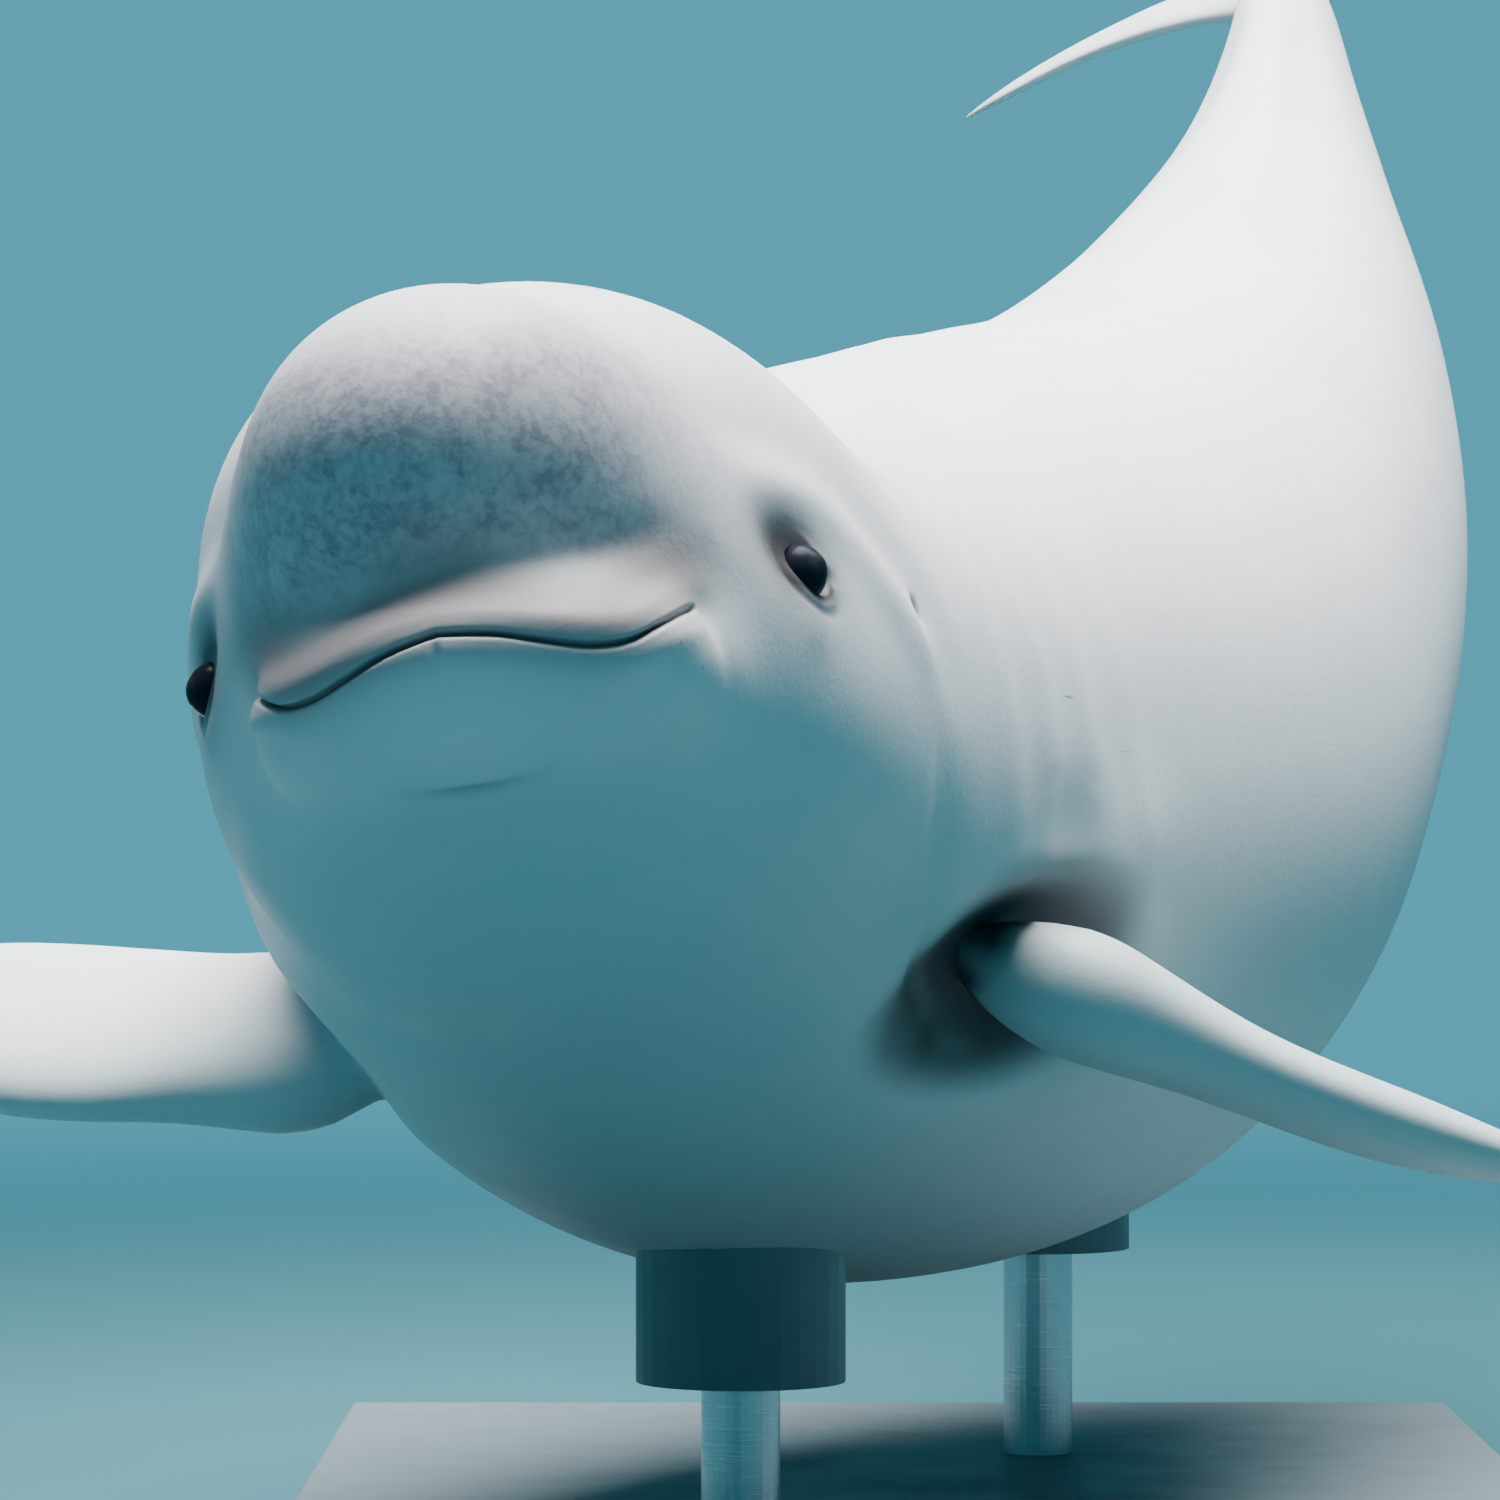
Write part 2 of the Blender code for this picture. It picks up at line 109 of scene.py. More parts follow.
LIP_SPOTS = (
    (0.074, -0.081, -0.045), (0.074, 0.078, -0.042), (0.060, 0.058, -0.050), (0.095, 0.096, -0.050),
)
BLOWHOLE_S = 0.42

# Rolls round the neck and creases under the throat: distance from the snout, and depth.
NECK_ROLLS = ((0.705, 0.0016), (0.790, 0.0024), (0.885, 0.0022), (0.990, 0.0018))
THROAT_CREASES = (
    (0.520, 0.0012), (0.610, 0.0016), (0.690, 0.0022), (0.752, 0.0034), (0.815, 0.0016),
)
FAR_SIDE_FOLDS = 0.35

# The fold in front of each flipper: side, distance from the snout, height and depth.
SHOULDER_PITS = ((1, 0.945, -0.208, 0.046), (-1, 0.975, -0.165, 0.010))

# The front share of the skin's rings is found by rays that fan out from one point of the axis.
FAN_CENTRE = 0.26
FAN_SHARE = 0.30
RAY_STEPS = 25
RAY_HALVINGS = 18

# A flipper's half chord, sweep and thickness at each share of its length.
FLIPPER_LENGTH = 0.56
FLIPPER_HALF_CHORD = np.array([
    (0, 0.110), (0.2, 0.104), (0.35, 0.098), (0.53, 0.102), (0.77, 0.100), (1.0, 0.085),
])
FLIPPER_SWEEP = np.array([(0, 0.0), (0.3, 0.004), (0.6, 0.014), (1.0, 0.040)])
FLIPPER_THICK = np.array([
    (0, 0.110), (0.2, 0.092), (0.40, 0.064), (0.72, 0.052), (1.0, 0.026),
])
FLIPPER_CURL = 0.038
# Each flipper: its root inside the body, the way along it and the way to its back edge.
LEFT_FLIPPER = ((0.892, 0.209, -0.171), (0.395, 0.768, -0.500), (0.96, -0.16, -0.05))
RIGHT_FLIPPER = ((0.975, -0.222, -0.160), (0.155, -0.970, 0.130), (0.76, -0.05, 0.65))

# A fluke's front and back edges and its thickness at each share of the half span.
FLUKE_HALF_SPAN = 0.385
FLUKE_FRONT = np.array([
    (0, 3.44), (0.06, 3.470), (0.15, 3.500), (0.4, 3.555), (0.7, 3.625), (0.9, 3.685), (1, 3.755),
])
FLUKE_BACK = np.array([
    (0, 3.705), (0.05, 3.725), (0.2, 3.780), (0.45, 3.818), (0.75, 3.810), (0.92, 3.785), (1, 3.755),
])
FLUKE_THICK = np.array([(0, 0.070), (0.12, 0.044), (0.4, 0.028), (0.8, 0.016), (1, 0.010)])
FLUKE_RISE = 0.012
FLUKE_DROOP = 0.070

# Heading, lift and roll of the spine in degrees at distances from the snout.
POSE = np.array([
    (0.00, 8.5, -12.0, 11.3),
    (0.45, 8.5, -12.0, 11.3),
    (0.90, 12.0, -6.1, 10.0),
    (1.30, 18.5, -0.9, 10.0),
    (1.70, 18.5, 8.4, 10.0),
    (2.10, 23.5, 18.4, 10.0),
    (2.50, 21.3, 29.9, 10.0),
    (2.90, 13.6, 35.2, 11.0),
    (3.25, 5.5, 40.0, 13.0),
    (3.45, 2.0, 34.0, 14.0),
    (3.60, 2.0, 13.0, 14.0),
    (3.85, 2.0, 6.0, 14.0),
])
SPINE_LENGTH = 3.9
SPINE_STEPS = 1561
HEAD_PLACE = (-0.317, -1.224, 0.777)

# Divisions of each piece, round it and along it.
SKIN_GRID = (128, 190)
FLUKE_GRID = (48, 120)
FLIPPER_GRID = (56, 64)
EYE_GRID = (48, 32)

# How far from each feature the skin's faces are divided, in the first, second and third round.
MOUTH_REACH = (0.045, 0.020, 0.009)
EYE_REACH = (0.085, 0.042, 0.030)
EAR_REACH = (0.040, 0.024, 0.016)
BLOWHOLE_REACH = (0.060, 0.050, 0.045)
FLIPPER_REACH = (0.22, 0.16, 0.0)
WELD_DISTANCE = 0.00002
JOIN_ROUNDS = 6

# Colours of the skin, in the order in which they are laid over each other.
WHITE_SKIN = (0.74, 0.75, 0.77, 1)
CLOUDED_SKIN = (0.62, 0.64, 0.68, 1)
# Painted shade: a dark blue-green laid on the underside, which faces away from the light above.
PAINTED_UNDERSIDE_SHADE = (0.34, 0.44, 0.46, 1)
# Grey of the melon: its own mottling, darkened further as painted shade on its front and under it.
MOTTLED_AND_SHADED_GREY = (0.23, 0.205, 0.26, 1)
PINK_LIPS = (0.26, 0.215, 0.225, 1)
# Grey skin with painted shade in the hollows round the eye and the left flipper's root.
GREY_AND_SHADED_HOLLOWS = (0.060, 0.068, 0.078, 1)
# Painted shade in the mouth slit, the eye's opening and corner, the ear, the chin fold, the blowhole
# and the flipper's root fold, with some dark skin round the eye.
DARK_AND_SHADED_CREASES = (0.035, 0.03, 0.035, 1)

PUPIL = (0.012, 0.016, 0.026, 1)
IRIS = (0.030, 0.034, 0.038, 1)
STAND_PAINT = (0.14, 0.18, 0.20, 1)
STAND_PAINT_DARK = (0.11, 0.145, 0.165, 1)
STEEL = (0.58, 0.59, 0.61, 1)
STEEL_DARK = (0.45, 0.46, 0.48, 1)

FLOOR_COLOUR = (0.035, 0.105, 0.120, 1)
FLOOR_DARK = (0.030, 0.095, 0.110, 1)
FLOOR_GLOW = (0.09, 0.46, 0.62, 1)
FLOOR_GLOW_STRENGTH = 0.85
GLOW_START = 0.5
GLOW_FULL = 8.0
FLOOR_MIDDLE = 0.5
FLOOR_FLAT = 40
FLOOR_CURVE = 12
ROOM_LIGHT = (0.12, 0.52, 0.64, 1)
ROOM_STRENGTH = 0.20

CAMERA_PLACE = (-0.1496, -5.624, 0.695)
CAMERA_LENS = 154.6
CAMERA_SENSOR = 36


def curve(x, table, column=1):
    """A smooth curve through the rows of a table, level beyond its ends."""
    xs, ys = table[:, 0], table[:, column]
    slope = np.gradient(ys, xs)
    x = np.clip(x, xs[0], xs[-1])
    i = np.clip(np.searchsorted(xs, x) - 1, 0, len(xs) - 2)
    h = xs[i + 1] - xs[i]
    t = (x - xs[i]) / h
    return (
        ys[i] * (2 * t**3 - 3 * t**2 + 1)
        + slope[i] * h * (t**3 - 2 * t**2 + t)
        + ys[i + 1] * (3 * t**2 - 2 * t**3)
        + slope[i + 1] * h * (t**3 - t**2)
    )


def ease(x, start, end):
    """0 up to the start, 1 from the end on, and a smooth rise between them."""
    t = np.clip((x - start) / (end - start), 0, 1)
    return t * t * (3 - 2 * t)


def bump(x, centre, width):
    """1 at the centre, fading to nothing on both sides."""
    return np.exp(-(((x - centre) / width) ** 2))


def join(a, b, blend):
    """The union of two distance fields with a rounded valley between them."""
    t = np.clip(0.5 + 0.5 * (b - a) / blend, 0, 1)
    return b + (a - b) * t - blend * t * (1 - t)


def mass(p, form):
    """Rough distance to an ellipsoid, negative inside it."""
    q = p - np.array(form[0])
    near = np.linalg.norm(q / np.array(form[1]), axis=-1)
    slope = np.linalg.norm(q / np.array(form[1]) ** 2, axis=-1)
    return near * (near - 1) / np.maximum(slope, 1e-9)


def trunk(p):
    """Rough distance to the body behind the head, negative inside it."""
    s, y, z = p[..., 0], p[..., 1], p[..., 2]
    width = curve(s, TRUNK, 1)
    height = np.where(z > 0, curve(s, TRUNK, 2), curve(s, TRUNK, 3))
    n = TRUNK_SQUARENESS
    ratio = ((np.abs(y) / width) ** n + (np.abs(z) / height) ** n) ** (1 / n)
    away = np.sqrt(y * y + z * z) + 1e-9
    tube = away * (1 - 1 / np.maximum(ratio, 1e-6))
    tube = -join(-tube, s - TRUNK_FRONT, 0.10)
    return -join(-tube, BODY_END - s, 0.02)


def above_mouth(p):
    """Height above the mouth line, and the angle round the muzzle."""
    angle = np.degrees(np.arctan2(np.abs(p[..., 1]), MOUTH_CENTRE - p[..., 0]))
    return p[..., 2] - curve(angle, MOUTH), angle


def lips(p):
    """The soft rolls of the lips, the crease under the brow, and the mouth itself."""
    above, angle = above_mouth(p)
    face = 1 - ease(p[:, 0], 0.20, 0.27)
    fade = face * (1 - ease(angle, 66, 96))
    upper = 0.0030 * bump(above, 0.014, 0.012)
    lower = 0.0026 * bump(above, -0.014, 0.012)
    under = 0.0030 * bump(above, -0.036, 0.016) * (1 - ease(angle, 40, 80))
    crease = 0.0045 * bump(p[:, 2] - curve(angle, BROW_CREASE), 0, 0.013) * (1 - ease(angle, 50, 88))
    corner = 0.0030 * bump(np.hypot(p[:, 0] - 0.190, p[:, 2] + 0.052), 0, 0.016)
    slit = 0.0065 * bump(above, 0.0, 0.0021) * (1 - ease(angle, 78, 84))
    return fade * (upper + lower - under - crease) - face * (slit + corner)


def eye_offsets(p):
    """Distance back from the eye and above it, and how far out to the side the point is."""
    return p[:, 0] - EYE_S, p[:, 2], np.abs(p[:, 1])


def eye_ring(p):
    """0 at the middle of the eye's opening and 1 at the edge of the lids."""
    back, above, _ = eye_offsets(p)
    return np.sqrt(((back - 0.002) / 0.0255) ** 2 + ((above + 0.10 * back) / 0.0176) ** 2)


def lids(p):
    """The opening that the eye sits in, its lids, and the soft hollow round it."""
    back, above, out = eye_offsets(p)
    near = ease(out, 0.10, 0.15)
    ring = eye_ring(p)
    opening = 0.0130 * (1 - ease(ring, 0.74, 1.0))
    rim = 0.0008 * bump(ring, 1.30, 0.30) * ease(-above, -0.006, 0.008)
    upper_lid = 0.0004 * bump(ring, 1.35, 0.34) * ease(above, -0.004, 0.010)
    upper_fold = 0.0006 * bump(ring, 1.75, 0.26) * ease(above, -0.006, 0.012)
    lower_fold = 0.0016 * bump(ring, 1.72, 0.20) * ease(-above, -0.002, 0.014)
    corner = 0.0045 * bump(np.hypot((back - 0.029) / 1.5, above - 0.001), 0, 0.006)
    hollow = 0.0085 * bump(np.hypot((back + 0.022) / 1.4, above - 0.015), 0, 0.030)
    bag = 0.0025 * bump(np.hypot(back + 0.010, above + 0.044), 0, 0.020)
    return near * (rim + upper_lid + bag - opening - upper_fold - lower_fold - corner - hollow)


def stroke(p, path):
    """Distance from each point to a line on either side of the body, and how far along it."""
    q = np.stack([p[:, 0], np.abs(p[:, 1]), p[:, 2]], -1)
    path = np.array(path)
    best, share = np.full(len(p), 9.0), np.zeros(len(p))
    for k, (start, end) in enumerate(zip(path[:-1], path[1:])):
        way = end - start
        t = np.clip((q - start) @ way / (way @ way), 0, 1)
        away = np.linalg.norm(q - start - t[:, None] * way, axis=1)
        share = np.where(away < best, (k + t) / (len(path) - 1), share)
        best = np.minimum(best, away)
    return best, share


def ear_distance(p):
    """Distance from the small slit of the ear, on either side."""
    q = np.stack([p[:, 0], np.abs(p[:, 1]), p[:, 2]], -1) - np.array(EAR)
    return np.hypot(q[:, 0] / 1.1, np.hypot(q[:, 1], q[:, 2]))


def chin_fold(p):
    """A short soft fold across the chin."""
    q = p - np.array(CHIN)
    across = bump(q[:, 1], 0, 0.034)
    return across * bump(q[:, 0] + 1.5 * q[:, 1] ** 2, 0, 0.009) * bump(q[:, 2], 0, 0.03)


def head_folds(p):
    """The brow ridge that runs back over the eye, the ear, the chin and the cheek."""
    away, share = stroke(p, BROW_RIDGE)
    ridge = 0.0046 * bump(away, 0, 0.023) * ease(share, 0.0, 0.25) * (1 - ease(share, 0.75, 1.0))
    valley = 0.0022 * bump(stroke(p - np.array([0.034, 0, 0.038]), BROW_RIDGE)[0], 0, 0.026)
    ear = 0.0075 * bump(ear_distance(p), 0, 0.0085)
    chin = 0.0045 * chin_fold(p)
    cheek = 0.0014 * bump(stroke(p, CHEEK)[0], 0, 0.014)
    notch = 0.0022 * bump(p[:, 1] + 0.002, 0, 0.0035) * bump(p[:, 2], -0.094, 0.011)
    notch = notch * (p[:, 0] < 0.1)
    spots = 0
    for s, y, z in LIP_SPOTS:
        spots = spots + 0.0016 * bump(np.linalg.norm(p - np.array([s, y, z]), axis=1), 0, 0.0055)
    return ridge + spots - valley - ear - chin - cheek - notch


def blowhole(p):
    """A crescent slit on top of the head, open to the front, in a low collar."""
    s, y, z = p[:, 0], p[:, 1], p[:, 2]
    top = ease(z, 0.08, 0.16)
    bow = s - BLOWHOLE_S - 9.0 * y * y
    ends = 1 - ease(np.abs(y), 0.024, 0.031)
    slit = 0.0060 * bump(bow, 0, 0.0034) * ends
    collar = 0.0015 * bump(np.hypot(bow, 0.7 * y), 0.020, 0.012)
    return top * (collar - slit)


def neck_folds(p):
    """The fold from the ear to the flipper, soft rolls of the neck and creases of the throat."""
    s, y, z = p[:, 0], np.abs(p[:, 1]), p[:, 2]
    away, share = stroke(p, NECK_FOLD)
    fold = 0.0060 * bump(away, 0, 0.014) * ease(share, 0.0, 0.3)
    rim = 0.0045 * bump(stroke(p + np.array([0.024, 0, 0]), NECK_FOLD)[0], 0, 0.012)
    rim = rim * ease(share, 0.1, 0.5)
    side = ease(y, 0.16, 0.24) * (1 - ease(z, 0.12, 0.24)) * ease(z, -0.16, -0.06)
    sway = 0.20 * z
    rolls = 0
    for place, deep in NECK_ROLLS:
        rolls = rolls + deep * (bump(s + sway, place + 0.04, 0.024) - bump(s + sway, place, 0.026))
    under = ease(-z, 0.14, 0.20) * bump(p[:, 1] - 0.05, 0, 0.15)
    throat = 0
    for place, deep in THROAT_CREASES:
        throat = throat + deep * bump(s - 0.35 * y * y, place, 0.011)
    strength = np.where(p[:, 1] > 0, 1.0, FAR_SIDE_FOLDS)
    return strength * (rim - fold) + side * rolls - under * throat


def shoulders(p):
    """The deep fold in front of each flipper, and the hollow and the muscle over it."""
    s, y, z = p[:, 0], p[:, 1], p[:, 2]
    total = 0
    for side, centre, low, deep in SHOULDER_PITS:
        near = ease(side * y, 0.10, 0.16)
        ring = np.hypot((s - centre) / 0.215, (z - low) / 0.074)
        pit = deep * (1 - ease(ring, 0.35, 1.18)) * (1 - 0.5 * ease(s, centre, centre + 0.12))
        hollow = 0.0085 * bump(np.hypot((s - centre + 0.055) / 1.3, z - low - 0.105), 0, 0.036)
        muscle = 0.0085 * bump(np.hypot((s - centre - 0.105) / 1.4, z - low - 0.095), 0, 0.055)
        total = total + near * (muscle - pit - hollow)
    return total


def back_and_belly(p):
    """The low ridge of the back, the keels of the tail, and the slits of the belly."""
    s, y, z = p[:, 0], p[:, 1], p[:, 2]
    top = ease(z, 0.05, 0.15)
    length = ease(s, 1.62, 1.85) * (1 - ease(s, 2.25, 2.55))
    ridge = 0.0060 * bump(y, 0, 0.024) * length * top
    nicks = 0.0012 * bump(y, 0, 0.020) * length * top * np.sin(s * 95) ** 2
    keel = curve(s, TRUNK, 1)
    valley = 0.0060 * bump(np.abs(y) / keel, 0.52, 0.20) * ease(s, 2.35, 2.7) * (1 - ease(s, 3.2, 3.4))
    valley = valley * ease(np.abs(z), 0.04, 0.10)
    below = ease(-z, 0.10, 0.2)
    navel = 0.0050 * bump(y, 0, 0.006) * bump(s, 1.78, 0.018)
    slit = 0.0060 * bump(y, 0, 0.005) * ease(s, 2.26, 2.28) * (1 - ease(s, 2.37, 2.40))
    vent = 0.0050 * bump(y, 0, 0.006) * bump(s, 2.52, 0.012)
    return ridge - nicks - valley - below * (navel + slit + vent)


def relief(p):
    """How far the skin stands out from the plain shape."""
    return (
        lips(p) + lids(p) + head_folds(p) + blowhole(p)
        + neck_folds(p) + shoulders(p) + back_and_belly(p)
    )


def body(p):
    """Distance to the whale's skin without its fins."""
    d = join(mass(p, CRANIUM), mass(p, NAPE), 0.06)
    d = join(d, mass(p, THROAT), 0.08)
    d = join(d, trunk(p), 0.10)
    d = join(d, mass(p, MELON), 0.075)
    d = join(d, mass(p, MUZZLE), 0.045)
    return d


def reach(start, direction, far=0.6):
    """The last point of each ray that is inside the body."""
    steps = np.linspace(0.0, far, RAY_STEPS)
    inside = np.zeros(len(start))
    for step in steps:
        field = body(start + direction * step)
        inside = np.where(field < 0, step, inside)
    low, high = inside, inside + steps[1]
    for _ in range(RAY_HALVINGS):
        middle = 0.5 * (low + high)
        out = body(start + direction * middle[:, None]) > 0
        low, high = np.where(out, low, middle), np.where(out, middle, high)
    return start + direction * low[:, None]


def places_of(mesh):
    return np.array([v.co[:] for v in mesh.verts])


def move_to(mesh, places):
    for vertex, place in zip(mesh.verts, places):
        vertex.co = place


def sphere_angles(co):
    """Points of a unit sphere as the angle round the Z axis and the share of the way up."""
    co = co / np.linalg.norm(co, axis=1)[:, None]
    around = np.arctan2(co[:, 1], co[:, 0])
    return around, np.arccos(np.clip(-co[:, 2], -1, 1)) / math.pi


def face_out(mesh):
    """Turns the faces of one closed body round if they point inwards."""
    mesh.normal_update()
    if mesh.calc_volume(signed=True) < 0:
        bmesh.ops.reverse_faces(mesh, faces=mesh.faces)


def body_place(around, share):
    """The skin in front of the fan's centre by rays that fan out, behind it by level ones."""
    fan = np.clip(share / FAN_SHARE, 0, 1) * math.pi / 2
    back = np.clip((share - FAN_SHARE) / (1 - FAN_SHARE), 0, 1) ** 1.25
    start = np.zeros((len(share), 3))
    start[:, 0] = FAN_CENTRE + back * (BODY_END + 0.005 - FAN_CENTRE)
    direction = np.stack([
        -np.cos(fan),
        np.sin(fan) * np.cos(around),
        np.sin(fan) * np.sin(around),
    ], -1)
    return reach(start, direction)


def slopes(p):
    """The outward direction of the body at each point."""
    step = 0.002
    slope = np.stack([body(p + step * axis) - body(p - step * axis) for axis in np.eye(3)], -1)
    return slope / np.linalg.norm(slope, axis=-1)[..., None]


def skin_place(around, share):
    """The skin with its relief, at each angle round the body and share of its length."""
    plain = body_place(around, share)
    return plain + slopes(plain) * relief(plain)[:, None]


def flipper_axes(span, chord):
    """The directions along a flipper, across it to its back edge, and up from it."""
    span = np.array(span) / np.linalg.norm(span)
    chord = np.array(chord) - span * np.dot(chord, span)
    chord = chord / np.linalg.norm(chord)
    up = np.cross(span, chord)
    return span, chord, up if up[2] > 0 else -up


def flipper_place(root, span, chord):
    """The shape of one flipper, as a function of the angle round it and the share along it."""
    span, chord, up = flipper_axes(span, chord)

    def place(around, share):
        along = share**0.8
        tip = np.sqrt(np.clip(1 - np.clip((along - 0.52) / 0.48, 0, 1) ** 2.6, 0, 1))
        half = curve(along, FLIPPER_HALF_CHORD) * tip
        start = np.sqrt(1 - (1 - np.clip(share / 0.15, 0, 1)) ** 2)
        half = half * start
        thick = 0.5 * curve(along, FLIPPER_THICK) * (0.25 + 0.75 * tip)
        thick = thick * start * np.where(share > 0.999, 0, 1)
        back = curve(along, FLIPPER_SWEEP) - half * np.cos(around)
        lift = thick * np.sin(around) * (1 + 0.35 * np.cos(around))
        lift = lift + FLIPPER_CURL * np.clip((along - 0.4) / 0.6, 0, 1) ** 2
        out = (along * FLIPPER_LENGTH)[:, None] * span
        return np.array(root) + out + back[:, None] * chord + lift[:, None] * up

    return place


def fluke_place(around, share):
    """Both flukes as one blade from tip to tip."""
    y = -np.cos(share * math.pi)
    away = np.abs(y)
    front, back = curve(away, FLUKE_FRONT), curve(away, FLUKE_BACK)
    half = 0.5 * (back - front)
    tip = np.sqrt(1 - np.clip((away - 0.80) / 0.20, 0, 1) ** 2)
    thick = 0.5 * curve(away, FLUKE_THICK) * tip
    s = 0.5 * (front + back) - half * np.cos(around)
    z = thick * np.sin(around) * (1 + 0.4 * np.cos(around))
    z = z + FLUKE_RISE - FLUKE_DROOP * away**2
    return np.stack([s, y * FLUKE_HALF_SPAN, z], -1)


def spine():
    """Points on the bent spine and the three directions of the body at each."""
    steps = np.linspace(0, SPINE_LENGTH, SPINE_STEPS)
    yaw, lift, roll = (np.radians(curve(steps, POSE, k)) for k in (1, 2, 3))
    back = np.stack([np.sin(yaw) * np.cos(lift), np.cos(yaw) * np.cos(lift), np.sin(lift)], -1)
    level = np.stack([np.cos(yaw), -np.sin(yaw), 0 * yaw], -1)
    rise = np.cross(level, back)
    left = np.cos(roll)[:, None] * level + np.sin(roll)[:, None] * rise
    up = np.cos(roll)[:, None] * rise - np.sin(roll)[:, None] * level
    middle = 0.5 * (back[1:] + back[:-1]) * np.diff(steps)[:, None]
    path = np.concatenate([np.zeros((1, 3)), np.cumsum(middle, 0)])
    eyes = np.array([np.interp(EYE_S, steps, path[:, k]) for k in range(3)])
    return steps, path - eyes + np.array(HEAD_PLACE), left, up, back


SPINE = spine()


def bend(points):
    """Straight whale to posed whale."""
    steps, path, left, up, back = SPINE
    s = points[:, 0]
    inside = np.clip(s, 0, steps[-1])

    def at(values):
        return np.stack([np.interp(inside, steps, values[:, k]) for k in range(3)], -1)

    ahead = (s - inside)[:, None] * at(back)
    return at(path) + ahead + points[:, 1:2] * at(left) + points[:, 2:3] * at(up)


def eye_centre(side):
    """A point a little under the skin, on the level of the axis."""
    skin = reach(np.array([[EYE_S, 0.0, 0.0]]), np.array([[0.0, side, 0.0]]))
    return (skin - EYE_SINK * slopes(skin))[0]


def add(name, mesh, *materials):
    """A bmesh as a new smooth object."""
    data = bpy.data.meshes.new(name)
    mesh.to_mesh(data)
    mesh.free()
    obj = bpy.data.objects.new(name, data)
    bpy.context.scene.collection.objects.link(obj)
    for material in materials:
        data.materials.append(material)
    data.shade_smooth()
    return obj


def unite(obj, other):
    """Joins another closed object to this one, and removes it."""
    modifier = obj.modifiers.new("join", "BOOLEAN")
    modifier.operation = "UNION"
    modifier.object = other
    modifier.solver = "EXACT"
    graph = bpy.context.evaluated_depsgraph_get()
    data = bpy.data.meshes.new_from_object(obj.evaluated_get(graph))
    obj.modifiers.remove(modifier)
    old = obj.data
    obj.data = data
    bpy.data.meshes.remove(old)
    bpy.data.objects.remove(other)


def fin_roots():
    """Where each flipper's middle line leaves the body."""
    found = []
    for root, span, chord in (LEFT_FLIPPER, RIGHT_FLIPPER):
        out = flipper_axes(span, chord)[0]
        found.append(reach(np.array([root]), out[None, :], 0.3)[0])
    return found


def refine(mesh, wanted, rounds):
    """Divides the faces of the sphere where wanted(places, round) says so."""
    for turn in range(rounds):
        places = body_place(*sphere_angles(places_of(mesh)))
        keep = wanted(places, turn)
        mesh.verts.index_update()
        edges = [e for e in mesh.edges if keep[e.verts[0].index] and keep[e.verts[1].index]]
        bmesh.ops.subdivide_edges(mesh, edges=edges, cuts=1, use_grid_fill=True)


def fine_places(roots):
    """Where the skin needs smaller faces: round the features, the flippers and the tail stock."""

    def wanted(p, turn):
        above, angle = above_mouth(p)
        mouth = (np.abs(above) < MOUTH_REACH[turn]) & (angle < 92) & (p[:, 2] < 0.02)
        back, up, out = eye_offsets(p)
        socket = (np.hypot(back, up) < EYE_REACH[turn]) & (out > 0.1)
        ear = ear_distance(p) < EAR_REACH[turn]
        hole = np.hypot(p[:, 0] - BLOWHOLE_S, p[:, 1]) < BLOWHOLE_REACH[turn]
        hole = hole & (p[:, 2] > 0)
        flipper = np.zeros(len(p), bool)
        for root in roots:
            flipper |= np.linalg.norm(p - root, axis=1) < FLIPPER_REACH[turn]
        stock = (p[:, 0] > 3.30) & (turn < 1)
        return mouth | socket | ear | hole | flipper | stock

    return wanted


def sphere(grid):
    mesh = bmesh.new()
    bmesh.ops.create_uvsphere(mesh, u_segments=grid[0], v_segments=grid[1], radius=1)
    return mesh


def fin(grid, place):
    """A sphere drawn out into a closed fin."""
    mesh = sphere(grid)
    move_to(mesh, place(*sphere_angles(places_of(mesh))))
    face_out(mesh)
    return mesh


def smooth_joins(mesh, roots):
    """Rounds the valleys where the fins leave the body."""
    places = places_of(mesh)
    depth = np.abs(body(places))
    near = (places[:, 0] > 3.40) & (depth < 0.014)
    for root in roots:
        near |= (np.linalg.norm(places - root, axis=1) < 0.17) & (depth < 0.030)
    mesh.verts.index_update()
    chosen = [v for v in mesh.verts if near[v.index]]
    for _ in range(JOIN_ROUNDS):
        bmesh.ops.smooth_vert(
            mesh, verts=chosen, factor=0.5, use_axis_x=True, use_axis_y=True, use_axis_z=True
        )


def whale_skin():
    """One closed skin over the head, body, flippers and flukes, in the pose."""
    roots = fin_roots()
    mesh = sphere(SKIN_GRID)
    refine(mesh, fine_places(roots), 3)
    move_to(mesh, skin_place(*sphere_angles(places_of(mesh))))
    face_out(mesh)
    skin = add("whale_skin", mesh)
    unite(skin, add("blade", fin(FLUKE_GRID, fluke_place)))
    for flipper in (LEFT_FLIPPER, RIGHT_FLIPPER):
        unite(skin, add("paddle", fin(FLIPPER_GRID, flipper_place(*flipper))))
    mesh = bmesh.new()
    mesh.from_mesh(skin.data)
    bmesh.ops.remove_doubles(mesh, verts=mesh.verts, dist=WELD_DISTANCE)
    smooth_joins(mesh, roots)
    straight = places_of(mesh)
    move_to(mesh, bend(straight))
    face_out(mesh)
    mesh.to_mesh(skin.data)
    mesh.free()
    mark(skin.data, straight, markings(straight))
    skin.data.shade_smooth()
    return skin


def mark(data, straight, layers):
    """Stores on a mesh where each point was on the straight whale, and named values there."""
    place = data.attributes.new("place", "FLOAT_VECTOR", "POINT")
    place.data.foreach_set("vector", straight.astype(np.float32).ravel())
    for name, values in layers.items():
        layer = data.attributes.new(name, "FLOAT", "POINT")
        layer.data.foreach_set("value", values.astype(np.float32))


